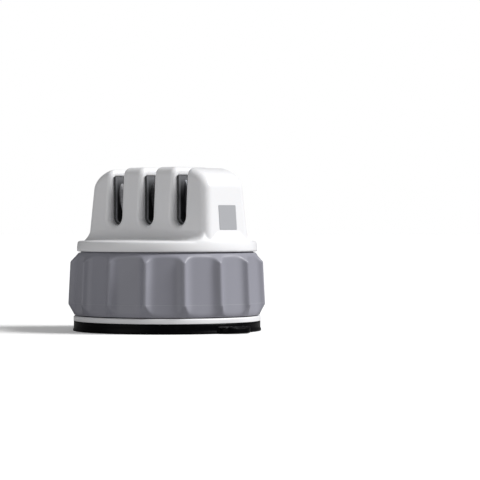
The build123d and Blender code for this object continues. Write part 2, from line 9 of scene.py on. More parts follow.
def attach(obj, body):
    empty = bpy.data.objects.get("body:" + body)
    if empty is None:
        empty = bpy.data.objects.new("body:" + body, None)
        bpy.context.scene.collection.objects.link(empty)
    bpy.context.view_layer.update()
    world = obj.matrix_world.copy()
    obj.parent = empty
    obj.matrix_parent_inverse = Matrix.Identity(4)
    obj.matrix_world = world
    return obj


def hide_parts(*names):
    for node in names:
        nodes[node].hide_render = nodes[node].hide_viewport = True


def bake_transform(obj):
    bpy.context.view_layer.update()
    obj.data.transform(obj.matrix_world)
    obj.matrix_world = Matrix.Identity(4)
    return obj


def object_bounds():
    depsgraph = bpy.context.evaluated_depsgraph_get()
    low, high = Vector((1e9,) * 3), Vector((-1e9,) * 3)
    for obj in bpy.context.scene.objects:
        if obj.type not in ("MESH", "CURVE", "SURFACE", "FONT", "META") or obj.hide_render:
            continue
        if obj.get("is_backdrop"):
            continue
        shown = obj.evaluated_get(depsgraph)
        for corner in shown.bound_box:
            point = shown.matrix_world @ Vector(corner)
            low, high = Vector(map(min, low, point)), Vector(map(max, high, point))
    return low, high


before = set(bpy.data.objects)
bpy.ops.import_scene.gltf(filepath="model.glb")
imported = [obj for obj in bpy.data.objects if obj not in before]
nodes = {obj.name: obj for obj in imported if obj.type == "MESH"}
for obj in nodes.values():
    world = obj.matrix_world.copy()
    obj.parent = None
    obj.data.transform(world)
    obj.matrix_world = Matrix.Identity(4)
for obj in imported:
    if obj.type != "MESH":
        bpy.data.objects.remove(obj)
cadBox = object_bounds()
mm = 0.001


# Node building: sums on sockets are written as plain expressions

class Wire:
    def __init__(self, graph, socket):
        self.graph = graph
        self.socket = socket

    def maths(self, operation, *others):
        inputs = dict(enumerate((self, *others)))
        return self.graph.node("ShaderNodeMath", {"operation": operation}, inputs)

    def __add__(self, other):
        return self.maths("ADD", other)

    def __mul__(self, other):
        return self.maths("MULTIPLY", other)

    def __sub__(self, other):
        return self.maths("SUBTRACT", other)

    def __rsub__(self, other):
        return self * -1 + other

    def __truediv__(self, other):
        return self.maths("DIVIDE", other)


class Graph:
    def __init__(self, tree):
        self.tree = tree

    def node(self, kind, settings=None, inputs=None, out=0):
        made = self.tree.nodes.new(kind)
        for name, value in (settings or {}).items():
            setattr(made, name, value)
        for key, value in (inputs or {}).items():
            if isinstance(value, Wire):
                self.tree.links.new(value.socket, made.inputs[key])
            else:
                made.inputs[key].default_value = value
        return Wire(self, made.outputs[out]) if len(made.outputs) else None


# Screen colour from 0 to 255, given as linear light
def linear(red, green, blue):
    return tuple(((c / 255 + 0.055) / 1.055) ** 2.4 if c > 10 else c / 3294.6 for c in (red, green, blue))


# A material or a world, with its nodes taken out
def emptied(owner):
    owner.use_nodes = True
    owner.node_tree.nodes.clear()
    return Graph(owner.node_tree)


def makeFinish(name, recipe, fixed):
    material = bpy.data.materials.new(name)
    graph = emptied(material)
    place = graph.node("ShaderNodeTexCoord", out="Object")
    varying = recipe(graph, place)
    shader = graph.node("ShaderNodeBsdfPrincipled", {}, {**fixed, **varying}, out="BSDF")
    graph.node("ShaderNodeOutputMaterial", {}, {"Surface": shader})
    return material


def noise(graph, place, scale, detail, roughness=0.5, stretch=None):
    if stretch:
        place = graph.node("ShaderNodeMapping", {"vector_type": "POINT"}, {"Vector": place, "Scale": stretch})
    return graph.node(
        "ShaderNodeTexNoise", {"noise_dimensions": "3D"},
        {"Vector": place, "Scale": scale, "Detail": detail, "Roughness": roughness}, out="Fac",
    )


def blendColours(graph, factor, first, second):
    ends = [end if isinstance(end, Wire) else (*end, 1.0) for end in (first, second)]
    mix = {"data_type": "RGBA", "blend_type": "MIX"}
    return graph.node("ShaderNodeMix", mix, {0: factor, 6: ends[0], 7: ends[1]}, out=2)


def bump(graph, height, depth):
    return graph.node("ShaderNodeBump", {}, {"Height": height, "Distance": depth, "Strength": 1.0})


# From 0 at the first value to 1 at the second, held past both
def ramped(graph, value, first, second):
    return graph.node("ShaderNodeMapRange", {}, {"Value": value, 1: first, 2: second})


# Moulded plastic: slow drift of tone, fine spark grain, gloss that varies a little
plastic = {"driftScale": 28.0, "detail": 2.0, "grainRoughness": 0.6, "middle": 0.5}


def moulded(look):
    def recipe(graph, place):
        slow = noise(graph, place, plastic["driftScale"], plastic["detail"])
        fine = noise(graph, place, look["grain"], plastic["detail"], plastic["grainRoughness"])
        darker = tuple(c * (1 - look["drift"]) for c in look["colour"])
        uneven = [(part - plastic["middle"]) * look["glossDrift"] for part in (slow, fine)]
        return {
            "Base Color": blendColours(graph, slow, darker, look["colour"]),
            "Roughness": uneven[0] + uneven[1] + look["gloss"],
            "Normal": bump(graph, fine, look["depth"]),
        }
    return recipe


# Rubber: mat black with a little dust in the pores
rubber = {
    "black": linear(4, 4, 6), "dusty": linear(10, 10, 12), "poreScale": 900.0, "cloudScale": 60.0,
    "poreShare": 0.7, "poreDepth": 0.04 * mm, "dustFrom": 0.50, "dustTo": 0.72, "gloss": 0.34,
    "dustGloss": 0.18,
}


def rubbery(graph, place):
    pores = noise(graph, place, rubber["poreScale"], detail=4.0, roughness=0.7)
    cloud = noise(graph, place, rubber["cloudScale"], detail=2.0)
    dust = pores * rubber["poreShare"] + cloud * (1 - rubber["poreShare"])
    mask = ramped(graph, dust, rubber["dustFrom"], rubber["dustTo"])
    return {
        "Base Color": blendColours(graph, mask, rubber["black"], rubber["dusty"]),
        "Roughness": mask * rubber["dustGloss"] + rubber["gloss"],
        "Normal": bump(graph, pores, rubber["poreDepth"]),
    }


# Grip ring: satin grey, fine grain, a parting line where the two halves of the mould met, pressed in as a
# groove and painted lighter as a highlight along it
ringLook = {
    "colour": linear(149, 149, 159), "line": linear(196, 197, 200), "drift": 0.06, "grain": 5200.0,
    "gloss": 0.42, "glossDrift": 0.08, "depth": 0.04 * mm, "grainShare": 0.3,
    "lineLevel": 10.6 * mm, "lineWidth": 0.09 * mm, "lineShare": 0.35,
}


def ringFinish(graph, place):
    look = ringLook
    base = moulded(look)(graph, place)
    height = graph.node("ShaderNodeSeparateXYZ", {}, {"Vector": place}, out="Z")
    away = (height - look["lineLevel"]).maths("ABSOLUTE") / look["lineWidth"]
    line = (1 - away).maths("MAXIMUM", 0.0)
    fine = noise(graph, place, look["grain"], plastic["detail"], plastic["grainRoughness"])
    return {
        **base,
        # The lighter colour along the parting line is a painted highlight; the bump is the line's groove
        "Base Color": blendColours(graph, line * look["lineShare"], base["Base Color"], look["line"]),
        "Normal": bump(graph, fine * look["grainShare"] + line, look["depth"]),
    }


# Liner: black at the lips, a painted light grey band just inside them for the lit inner wall of each lip, and
# painted light on the walls towards the top of the slots
linerLook = {
    # The swarf colour is painted light: a light grey that stands for light falling on the lip walls and on
    # the upper slot walls
    "colour": linear(52, 53, 55), "swarf": linear(196, 197, 202), "drift": 0.2, "grain": 3600.0,
    "gloss": 0.42, "glossDrift": 0.12, "depth": 0.01 * mm,
    "lipPlane": 8.7 * mm, "litBandPlane": 7.5 * mm, "fade": 0.15 * mm,
    "litBandLow": 40.0 * mm, "paintedTopLow": 49.0 * mm, "high": 57.5 * mm, "litBandShare": 0.95, "litBandLeast": 0.3,
    "paintedTopShare": 0.26, "patchScale": 700.0, "patchShare": 0.5, "patchLeast": 0.72,
}


def linerFinish(graph, place):
    look = linerLook
    base = moulded(look)(graph, place)
    depth = graph.node("ShaderNodeSeparateXYZ", {}, {"Vector": place}, out="Y").maths("ABSOLUTE")
    height = graph.node("ShaderNodeSeparateXYZ", {}, {"Vector": place}, out="Z")
    # inside less deeper is a painted lit band on the inner wall of each lip; the worn weight makes it
    # stronger lower down
    inside = ramped(graph, depth, look["lipPlane"], look["lipPlane"] - look["fade"])
    deeper = ramped(graph, depth, look["litBandPlane"], look["litBandPlane"] - look["fade"])
    lower = ramped(graph, height, look["high"], look["litBandLow"])
    worn = lower * (1 - look["litBandLeast"]) + look["litBandLeast"]
    # settled paints light on the walls further in, lighter towards the top of the slots where light falls in
    settled = ramped(graph, height, look["paintedTopLow"], look["high"])
    patches = noise(graph, place, look["patchScale"], detail=3.0, roughness=0.6)
    patchy = patches * look["patchShare"] + look["patchLeast"]
    paintedLitBand = (inside - deeper) * worn * look["litBandShare"]
    # dust here carries only painted light, broken up by random patches
    dust = (paintedLitBand + deeper * settled * settled * look["paintedTopShare"]) * patchy
    return {**base, "Base Color": blendColours(graph, dust, base["Base Color"], look["swarf"])}


# Sharpening stone: close pores, a few darker grains, and swarf where edges have run
stone = {
    "poreScale": 3600.0, "grainScale": 5200.0, "swarfScale": 420.0, "swarfStretch": (1.0, 1.0, 3.0),
    "poreShare": 0.6, "paleFrom": 0.36, "paleTo": 0.66, "gloss": 0.72, "sparkleGloss": 0.3, "grainGloss": 0.5,
    "depth": 0.03 * mm,
}


def stonelike(pale, dark, sparkle):
    def recipe(graph, place):
        pores = noise(graph, place, stone["poreScale"], detail=4.0, roughness=0.75)
        cells = {"Vector": place, "Scale": stone["grainScale"]}
        grains = graph.node("ShaderNodeTexVoronoi", {"feature": "F1"}, cells)
        swarf = noise(graph, place, stone["swarfScale"], detail=2.0, stretch=stone["swarfStretch"])
        worn = pores * stone["poreShare"] + swarf * (1 - stone["poreShare"])
        tone = ramped(graph, worn, stone["paleFrom"], stone["paleTo"])
        gloss = stone["gloss"] - stone["sparkleGloss"] * sparkle
        return {
            "Base Color": blendColours(graph, tone, dark, pale),
            "Roughness": grains * stone["grainGloss"] * sparkle + gloss,
            "Normal": bump(graph, pores + grains * sparkle, stone["depth"]),
        }
    return recipe


# Ground metal: streaks along one direction
metal = {
    "streakScale": 1500.0, "stainScale": 300.0, "streakShare": 0.6, "streakGloss": 0.22, "depth": 0.006 * mm,
}


def groundMetal(stretch, bright, dull, gloss):
    def recipe(graph, place):
        streak = noise(graph, place, metal["streakScale"], detail=3.0, roughness=0.6, stretch=stretch)
        stain = noise(graph, place, metal["stainScale"], detail=2.0)
        mixed = streak * metal["streakShare"] + stain * (1 - metal["streakShare"])
        return {
            "Base Color": blendColours(graph, mixed, dull, bright),
            "Roughness": streak * metal["streakGloss"] + gloss,
            "Normal": bump(graph, streak, metal["depth"]),
        }
    return recipe


# Plastics that need nothing but the plain recipe
plainLooks = {
    "white": {
        "colour": linear(243, 243, 245), "drift": 0.025, "grain": 4200.0, "gloss": 0.30, "glossDrift": 0.08,
        "depth": 0.006 * mm,
    },
    "inner": {
        "colour": linear(206, 206, 202), "drift": 0.05, "grain": 2600.0, "gloss": 0.42, "glossDrift": 0.10,
        "depth": 0.012 * mm,
    },
    "slip": {
        "colour": linear(228, 226, 214), "drift": 0.06, "grain": 1800.0, "gloss": 0.36, "glossDrift": 0.12,
        "depth": 0.008 * mm,
    },
    "badge": {
        "colour": linear(176, 177, 181), "drift": 0.05, "grain": 2400.0, "gloss": 0.40, "glossDrift": 0.10,
        "depth": 0.008 * mm,
    },
}
whiteFixed = {
    "IOR": 1.49, "Subsurface Weight": 0.08, "Subsurface Radius": (0.0012, 0.0011, 0.0010),
    "Subsurface Scale": 1.0,
}
carbide = groundMetal(
    stretch=(1.0, 6.0, 0.12), bright=linear(150, 152, 156), dull=linear(96, 98, 102), gloss=0.46,
)
steel = groundMetal(
    stretch=(1.0, 1.0, 8.0), bright=linear(196, 197, 200), dull=linear(136, 137, 140), gloss=0.24,
)
ceramic = stonelike(pale=linear(204, 204, 208), dark=linear(154, 154, 158), sparkle=0.1)
diamond = stonelike(pale=linear(84, 84, 87), dark=linear(34, 34, 36), sparkle=0.8)

# Each finish is a recipe for what varies over a piece, and the inputs that don't
recipes = {
    "whitePlastic": (moulded(plainLooks["white"]), whiteFixed),
    "ringPlastic": (ringFinish, {"IOR": 1.47}),
    "blackRubber": (rubbery, {"IOR": 1.5, "Specular IOR Level": 0.05}),
    "blackPlastic": (linerFinish, {"IOR": 1.46}),
    "innerPlastic": (moulded(plainLooks["inner"]), {"IOR": 1.48}),
    "slipPlastic": (moulded(plainLooks["slip"]), {"IOR": 1.5}),
    "paleStone": (ceramic, {}),
    "darkGrit": (diamond, {"Metallic": 0.4}),
    "brightCarbide": (carbide, {"Metallic": 1.0}),
    "screwSteel": (steel, {"Metallic": 1.0}),
    "badgeGrey": (moulded(plainLooks["badge"]), {"IOR": 1.45}),
}
finishes = {name: makeFinish(name, recipe, fixed) for name, (recipe, fixed) in recipes.items()}
print("finishes made:", len(finishes))


# Meshes

def linked(name, data):
    made = bpy.data.objects.new(name, data)
    bpy.context.scene.collection.objects.link(made)
    return made


def addPiece(name, points, faces, finish):
    mesh = bpy.data.meshes.new(name)
    mesh.from_pydata((np.asarray(points, float) * mm).tolist(), [], [tuple(f) for f in faces])
    mesh.materials.append(finishes[finish])
    mesh.shade_smooth()
    piece = linked(name, mesh)
    return piece


# The net is drawn onto the form in a few rounds; reach and stride are shares of the net's step
settle = {"rounds": 4, "reach": 0.04, "flattest": 0.05, "stride": 0.3}


# A form is given by its distance function, in millimetres; this skins it with an even net of quads
def skinForm(distance, low, high, step):
    axes = [np.arange(a, b + step, step) for a, b in zip(low, high)]
    grid = [axes[0][:, None, None], axes[1][None, :, None], axes[2][None, None, :]]
    shape = tuple(len(a) for a in axes)
    value = np.broadcast_to(distance(*grid), shape).astype(np.float32)
    inside = value < 0
    corners = [(i, j, k) for i in (0, 1) for j in (0, 1) for k in (0, 1)]

    def part(field, corner):
        return field[tuple(slice(c, n - 1 + c) for c, n in zip(corner, shape))]

    count = sum(part(inside, c).astype(np.int8) for c in corners)
    cells = np.argwhere((count > 0) & (count < 8))
    at = {c: value[tuple((cells + c).T)].astype(float) for c in corners}
    total = np.zeros((len(cells), 3))
    hits = np.zeros(len(cells))
    for first in corners:
        for axis in range(3):
            if first[axis]:
                continue
            second = tuple(c + (n == axis) for n, c in enumerate(first))
            a, b = at[first], at[second]
            crossed = (a < 0) != (b < 0)
            share = np.where(crossed, a / np.where(crossed, a - b, 1.0), 0.0)
            place = np.tile(np.array(first, float), (len(cells), 1))
            place[:, axis] += share
            total += place * crossed[:, None]
            hits += crossed
    points = np.array(low) + (cells + total / hits[:, None]) * step
    number = np.full(shape, -1, np.int64)
    number[tuple(cells.T)] = np.arange(len(cells))
    faces = []
    for axis in range(3):
        other = [n for n in range(3) if n != axis]
        ahead = np.roll(inside, -1, axis)
        edge = np.argwhere(inside != ahead)
        edge = edge[(edge[:, axis] < shape[axis] - 1) & (edge[:, other] > 0).all(1)]
        ring = []
        for step1, step2 in ((1, 1), (0, 1), (0, 0), (1, 0)):
            cell = edge.copy()
            cell[:, other[0]] -= step1
            cell[:, other[1]] -= step2
            ring.append(number[tuple(cell.T)])
        quad = np.stack(ring, 1)
        outward = inside[tuple(edge.T)] != (axis == 1)
        quad[~outward] = quad[~outward][:, ::-1]
        faces.append(quad)
    reach = step * settle["reach"]
    for _ in range(settle["rounds"]):
        d = distance(*points.T)
        slope = np.stack([
            (distance(*(points + nudge).T) - distance(*(points - nudge).T)) / (2 * reach)
            for nudge in reach * np.eye(3)
        ], 1)
        move = -(d / np.maximum((slope ** 2).sum(1), settle["flattest"]))[:, None] * slope
        length = np.linalg.norm(move, axis=1, keepdims=True)
        points = points + move * np.minimum(1.0, settle["stride"] * step / np.maximum(length, 1e-9))
    return points, np.concatenate(faces)


def outlineDistance(outline, a, b):
    nearest, within = np.inf, False
    for (a0, b0), (a1, b1) in zip(outline, outline[1:] + outline[:1]):
        alongA, alongB = a1 - a0, b1 - b0
        share = np.clip(((a - a0) * alongA + (b - b0) * alongB) / (alongA ** 2 + alongB ** 2), 0, 1)
        nearest = np.minimum(nearest, (a - a0 - share * alongA) ** 2 + (b - b0 - share * alongB) ** 2)
        if b0 != b1:
            within = within ^ (((b0 > b) != (b1 > b)) & (a < alongA * (b - b0) / alongB + a0))
    return np.where(within, -1, 1) * np.sqrt(nearest)


def roundedMeet(a, b, radius):
    outer = np.hypot(np.maximum(a + radius, 0), np.maximum(b + radius, 0))
    return outer + np.minimum(np.maximum(a, b), -radius)


def roundedJoin(a, b, radius):
    return -roundedMeet(-a, -b, radius)


# Points of a cubic curve over four knots
def curved(knots, count):
    curve = []
    for k in range(count + 1):
        t = k / count
        weights = ((1 - t) ** 3, 3 * t * (1 - t) ** 2, 3 * t * t * (1 - t), t ** 3)
        curve.append(tuple(sum(w * p[n] for w, p in zip(weights, knots)) for n in (0, 1)))
    return curve


nearlyStraight = 1.55


# Corner list to outline, each corner rounded by its own radius
def roundedOutline(corners, steps=5):
    outline = []
    count = len(corners)
    for n, (a, b, radius) in enumerate(corners):
        here = np.array((a, b))
        before = np.array(corners[n - 1][:2]) - here
        after = np.array(corners[(n + 1) % count][:2]) - here
        before, after = before / np.linalg.norm(before), after / np.linalg.norm(after)
        half = np.arccos(np.clip(before @ after, -1, 1)) / 2
        if radius == 0 or half > nearlyStraight:
            outline.append((a, b))
            continue
        run = radius / tan(half)
        centre = here + (before + after) / np.linalg.norm(before + after) * radius / sin(half)
        start = here + before * run - centre
        end = here + after * run - centre
        for k in range(steps + 1):
            mixed = start * (1 - k / steps) + end * k / steps
            outline.append(tuple(centre + mixed / np.linalg.norm(mixed) * radius))
    return outline


def divided(outline, longest):
    fine = []
    for (a0, b0), (a1, b1) in zip(outline, outline[1:] + outline[:1]):
        cuts = max(1, int(np.ceil(np.hypot(a1 - a0, b1 - b0) / longest)))
        fine += [(a0 + (a1 - a0) * k / cuts, b0 + (b1 - b0) * k / cuts) for k in range(cuts)]
    return fine


# Turned form from an outline of (radius, height); points on the axis are shared
def turned(outline, segments=160):
    points, rows, faces = [], [], []
    for radius, height in outline:
        if radius < 1e-6:
            rows.append([len(points)] * segments)
            points.append((0, 0, height))
        else:
            rows.append([len(points) + n for n in range(segments)])
            points += [
                (radius * cos(2 * pi * n / segments), radius * sin(2 * pi * n / segments), height)
                for n in range(segments)
            ]
    for first, second in zip(rows, rows[1:] + rows[:1]):
        for n in range(segments):
            m = (n + 1) % segments
            corners = list(dict.fromkeys((first[n], first[m], second[m], second[n])))
            if len(corners) > 2:
                faces.append(corners)
    return points, faces


def faceOutwards(piece):
    work = bmesh.new()
    work.from_mesh(piece.data)
    bmesh.ops.remove_doubles(work, verts=work.verts, dist=1e-7)
    bmesh.ops.recalc_face_normals(work, faces=work.faces)
    work.to_mesh(piece.data)
    work.free()


# White head: ridge with three slots on a round flange, hollow below
head = {
    "bottom": 30.02, "rimTop": 34.0, "top": 61.8, "rimRadius": 34.2, "rimRound": 1.3, "rimSlope": 0.035,
    "gripLevel": 48.0, "halfLength": 31.2, "halfDepth": 11.2, "endSlope": 0.082, "sideSlope": 0.060,
    "cornerRound": 3.2, "shoulderDrop": 8.0, "shoulderRun": 14.0, "shoulderShare": 0.55, "rootSink": 2.0,
    "footBlend": 4.2, "edgeLean": 0.36, "edgeInset": 0.35, "edgeScale": 0.94, "edgeRound": 0.6,
    "bottomRound": 0.4, "skirtWall": 2.3, "skirtDepth": 1.78, "pocket": (26.65, 8.15, 58.65),
    "pocketShoulder": 3.0, "bossRadius": 2.8, "bossPlaces": (7.98, 12.58), "bossHole": 1.27,
    "bossHoleTop": 33.85, "netLow": (-35.2, -35.2, 30.0), "netHigh": (35.2, 35.2, 62.6), "netStep": 0.46,
}
slots = {
    "places": (-17.0, 0.0, 17.0), "halfWidth": 3.1, "bottom": 40.0, "linerFace": 8.85,
    "flareRate": 0.08, "flareDrop": 0.05, "flareReach": 3.0, "mouthRound": 1.9,
}


def endAt(level):
    return head["halfLength"] + head["endSlope"] * (head["gripLevel"] - level)


def ridgeOutline():
    level = head["top"] - head["shoulderDrop"]
    x = endAt(level)
    crown = x - head["shoulderRun"]
    rise = head["shoulderDrop"] * head["shoulderShare"]
    knots = (
        (x, level), (x - head["endSlope"] * rise, level + rise),
        (crown + head["shoulderRun"] * head["shoulderShare"], head["top"]), (crown, head["top"]),
    )
    root = head["bottom"] + head["rootSink"]
    half = [(endAt(root), root)] + curved(knots, 16)
    return half + [(-a, b) for a, b in reversed(half)]


def slotDistance(x, y, z):
    opened = np.clip(np.abs(y) - slots["linerFace"], 0, slots["flareReach"])
    half = slots["halfWidth"] + slots["flareRate"] * opened
    centre = slots["bottom"] - slots["flareDrop"] * opened + half
    nearest = np.inf
    for place in slots["places"]:
        across = np.abs(x - place)
        nearest = np.minimum(nearest, np.where(z > centre, across, np.hypot(across, z - centre)) - half)
    return nearest


ridge = ridgeOutline()


def headDistance(x, y, z):
    radius = np.hypot(x, y)
    side = head["halfDepth"] + head["sideSlope"] * (head["gripLevel"] - z)
    tilt = cos(atan(head["sideSlope"]))
    hump = roundedMeet(outlineDistance(ridge, x, z), (np.abs(y) - side) * tilt, head["cornerRound"])
    rim = head["rimRadius"]
    upper = z - head["rimTop"] - head["rimSlope"] * (rim - radius)
    flange = roundedMeet(radius - rim, upper, head["rimRound"])
    blended = roundedJoin(hump, flange, head["footBlend"])
    lean = (z - head["rimTop"]) * head["edgeLean"]
    edge = (radius - rim + lean + head["edgeInset"]) * head["edgeScale"]
    trimmed = np.maximum(blended, roundedMeet(radius - rim, edge, head["edgeRound"]))
    solid = np.minimum(hump, trimmed)
    solid = roundedMeet(solid, head["bottom"] - z, head["bottomRound"])
    solid = roundedMeet(solid, -slotDistance(x, y, z), slots["mouthRound"])
    cavity = np.maximum(radius - rim + head["skirtWall"], z - head["bottom"] - head["skirtDepth"])
    bossX, bossY = head["bossPlaces"]
    toBoss = np.hypot(np.abs(x) - bossX, np.abs(y) - bossY)
    cavity = np.maximum(cavity, head["bossRadius"] - toBoss)
    holes = np.maximum(toBoss - head["bossHole"], z - head["bossHoleTop"])
    pocketX, pocketY, pocketTop = head["pocket"]
    pocket = np.maximum(np.maximum(np.abs(x) - pocketX, np.abs(y) - pocketY), z - pocketTop)
    shoulder = (np.abs(x) + z - pocketX - pocketTop + head["pocketShoulder"]) * cos(pi / 4)
    pocket = np.maximum(pocket, shoulder)
    return np.maximum(np.maximum(solid, -cavity), np.maximum(-pocket, -holes))


points, faces = skinForm(headDistance, head["netLow"], head["netHigh"], head["netStep"])
headPiece = addPiece("headShell", points, faces, "whitePlastic")
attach(headPiece, "body")
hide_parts("head_shell")
print("head shell:", len(faces), "quads")


# Badge place on the end face: plain grey square, nothing on it
badge = {"size": 9.2, "level": 42.8, "proud": 0.12, "thickness": 0.5, "corner": 0.35, "edge": 0.08}


def makeBadge(b):
    half = b["size"] / 2
    corners = [(a * half, c * half, b["corner"]) for a, c in ((-1, -1), (1, -1), (1, 1), (-1, 1))]
    outline = roundedOutline(corners, 4)
    points, faces = [], []
    layers = ((-b["thickness"], 0.0), (b["proud"] - b["edge"], 0.0), (b["proud"], b["edge"]))
    for depth, inset in layers:
        points += [(depth, a * (1 - inset / half), c * (1 - inset / half)) for a, c in outline]
    count = len(outline)
    for layer in range(len(layers) - 1):
        for n in range(count):
            m = (n + 1) % count
            first = layer * count
            faces.append((first + n, first + m, first + count + m, first + count + n))
    faces += [tuple(range(count))[::-1], tuple(range(2 * count, 3 * count))]
    turn = Matrix.Rotation(-atan(head["endSlope"]), 3, "Y")
    middle = Vector((endAt(b["level"]), 0, b["level"]))
    leaning = [turn @ Vector(p) + middle for p in points]
    piece = addPiece("badgePlate", leaning, faces, "badgeGrey")
    faceOutwards(piece)
    piece.data.shade_flat()
    return piece


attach(makeBadge(badge), "body")


# Grip ring: the outline is turned round by Geometry Nodes, which also press in the flutes.
# The outline starts at the foot of the bore and runs outwards and up; rounds has one radius per corner
ring = {
    "bottom": 6.10, "top": 29.55, "wideLevel": 10.3, "waistLevel": 26.25, "low": 35.2, "wide": 37.75,
    "waist": 36.95, "upper": 33.5, "bore": 30.55, "lip": 29.95, "lipLevel": 28.25,
    "beadRadius": 32.8, "beadRise": 0.33, "rounds": (0.2, 0.35, 1.4, 1.2, 0.35, 0.08, 0.12, 0.2, 0.1, 0.0),
    "flutes": 16, "fluteStart": -1.5, "fluteDepth": 2.4, "fluteShare": 0.46, "fluteHollow": 0.2,
    "soften": 0.95, "columns": 40, "rowHeight": 0.7,
}


def ringOutline(r):
    beadTop = r["top"] + r["beadRise"]
    corners = (
        (r["bore"], r["bottom"]), (r["low"], r["bottom"]), (r["wide"], r["wideLevel"]),
        (r["waist"], r["waistLevel"]), (r["upper"], r["top"]), (r["beadRadius"], r["top"]),
        (r["beadRadius"], beadTop), (r["lip"], beadTop), (r["lip"], r["lipLevel"]),
        (r["bore"], r["lipLevel"]),
    )
    outline = roundedOutline([(*corner, radius) for corner, radius in zip(corners, r["rounds"])])
    return divided(outline, r["rowHeight"])


def ringTree(rows):
    tree = bpy.data.node_groups.new("flutedRing", "GeometryNodeTree")
    face = tree.interface
    face.new_socket("Geometry", in_out="OUTPUT", socket_type="NodeSocketGeometry")
    face.new_socket("Outline", in_out="INPUT", socket_type="NodeSocketGeometry")
    numbers = ("Flutes", "Start", "Depth", "Share", "Hollow", "Wide Radius", "Wide Level", "Lean", "Soften")
    for name in numbers:
        face.new_socket(name, in_out="INPUT", socket_type="NodeSocketFloat")
    face.new_socket("Columns", in_out="INPUT", socket_type="NodeSocketInt")
    face.new_socket("Material", in_out="INPUT", socket_type="NodeSocketMaterial")
    graph = Graph(tree)
    entry = tree.nodes.new("NodeGroupInput")
    given = {socket.name: Wire(graph, socket) for socket in entry.outputs if socket.name}
    columns = given["Columns"] * given["Flutes"] + 1
    sheet = graph.node("GeometryNodeMeshGrid", {}, {"Size X": 1.0, "Size Y": 1.0, "Vertices X": columns,
                                                    "Vertices Y": rows + 1})
    position = graph.node("GeometryNodeInputPosition")
    along = graph.node("ShaderNodeSeparateXYZ", {}, {0: position}, out=0) + 0.5
    down = graph.node("ShaderNodeSeparateXYZ", {}, {0: position}, out=1) + 0.5
    row = (down * rows).maths("ROUND").maths("MODULO", float(rows))
    sample = graph.node("GeometryNodeSampleIndex", {"data_type": "FLOAT_VECTOR", "domain": "POINT"},
                        {"Geometry": given["Outline"], "Value": position, "Index": row})
    wall = graph.node("ShaderNodeSeparateXYZ", {}, {0: sample}, out=0)
    level = graph.node("ShaderNodeSeparateXYZ", {}, {0: sample}, out=2)
    angle = along * 2 * pi + given["Start"]
    pitch = (along * given["Flutes"] + 0.5).maths("FRACT") - 0.5
    across = pitch.maths("ABSOLUTE") / given["Share"]
    square = across * across
    rise = square * given["Hollow"] + square * square * square * (1 - given["Hollow"])
    body = given["Wide Radius"] - (level - given["Wide Level"]) * given["Lean"]
    flute = body - given["Depth"] * (1 - rise)
    radius = wall.maths("SMOOTH_MIN", flute, given["Soften"])
    spot = graph.node("ShaderNodeCombineXYZ", {}, {
        0: radius * angle.maths("COSINE"), 1: radius * angle.maths("SINE"), 2: level,
    })
    bent = graph.node("GeometryNodeSetPosition", {}, {"Geometry": sheet, "Position": spot})
    closed = graph.node("GeometryNodeMergeByDistance", {}, {"Geometry": bent, "Distance": 1e-6})
    smooth = graph.node("GeometryNodeSetShadeSmooth", {}, {"Geometry": closed, "Shade Smooth": True})
    real = graph.node("GeometryNodeRealizeInstances", {}, {"Geometry": smooth})
    dressed = graph.node("GeometryNodeSetMaterial", {}, {"Geometry": real, "Material": given["Material"]})
    graph.node("NodeGroupOutput", {}, {0: dressed})
    return tree


def fromNodes(name, holder, tree, inputs):
    modifier = holder.modifiers.new("nodes", "NODES")
    modifier.node_group = tree
    for item in tree.interface.items_tree:
        if item.in_out == "INPUT" and item.name in inputs:
            modifier[item.identifier] = inputs[item.name]
    settled = bpy.context.evaluated_depsgraph_get()
    mesh = bpy.data.meshes.new_from_object(holder.evaluated_get(settled))
    mesh.name = name
    holder.modifiers.remove(modifier)
    holder.data = mesh
    holder.name = name
    return holder


def makeRing(r):
    outline = ringOutline(r)
    mesh = bpy.data.meshes.new("ringOutline")
    mesh.from_pydata([(a * mm, 0, b * mm) for a, b in outline], [], [])
    holder = linked("gripRing", mesh)
    lean = (r["wide"] - r["waist"]) / (r["waistLevel"] - r["wideLevel"])
    return fromNodes("gripRing", holder, ringTree(len(outline)), {
        "Flutes": float(r["flutes"]), "Start": radians(r["fluteStart"]),
        "Depth": r["fluteDepth"] * mm, "Share": r["fluteShare"], "Hollow": r["fluteHollow"],
        "Wide Radius": r["wide"] * mm, "Wide Level": r["wideLevel"] * mm, "Lean": lean,
        "Soften": r["soften"] * mm, "Columns": r["columns"], "Material": finishes["ringPlastic"],
    })


ringPiece = makeRing(ring)
faceOutwards(ringPiece)
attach(ringPiece, "ring")
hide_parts("grip_ring")
print("grip ring:", len(ringPiece.data.polygons), "faces")


# Rubber cup: rim with the tab, and a membrane that is drawn up in the middle
cup = {
    "wall": 35.4, "lip": 35.8, "height": 3.8, "lipHeight": 1.2, "inner": 28.6, "innerFoot": 0.35,
    "sealEdge": (0.3, 0.02), "lipRound": 0.25, "wallFoot": (0.05, 0.3),
    "domeFlat": 9.0, "domeFlatEnd": 17.0, "domeHeight": 1.9, "domeShoulder": (23.5, 2.25), "domeEdge": 29.8,
    "opening": 13.2, "skin": 0.2, "skinLap": 0.4, "skinSink": 0.02,
    "sheet": 1.1, "sheetEnd": 0.5, "sheetRoom": 0.25, "sheetStart": 0.6, "sheetPiece": 1.2,
    "bossRadius": 7.0, "bossTop": 7.9, "bossRound": 0.3, "bossFlare": 0.15, "bossFoot": (0.1, 0.2),
    "studFoot": 4.45, "studHead": 4.55, "studHeadTop": 5.75, "studHole": 2.05,
    "netLow": (-37.0, -37.0, -0.9), "netHigh": (42.4, 37.0, 4.4), "netStep": 0.5,
}
tab = {
    "angle": -2.5, "root": 32.4, "tip": 41.0, "halfWidth": 6.5, "corner": 4.5, "top": 2.1, "lift": 0.25,
    "ribs": (39.4, 37.5), "ribHalf": 0.4, "ribHeight": 0.45, "join": 0.7, "edge": 0.35,
}
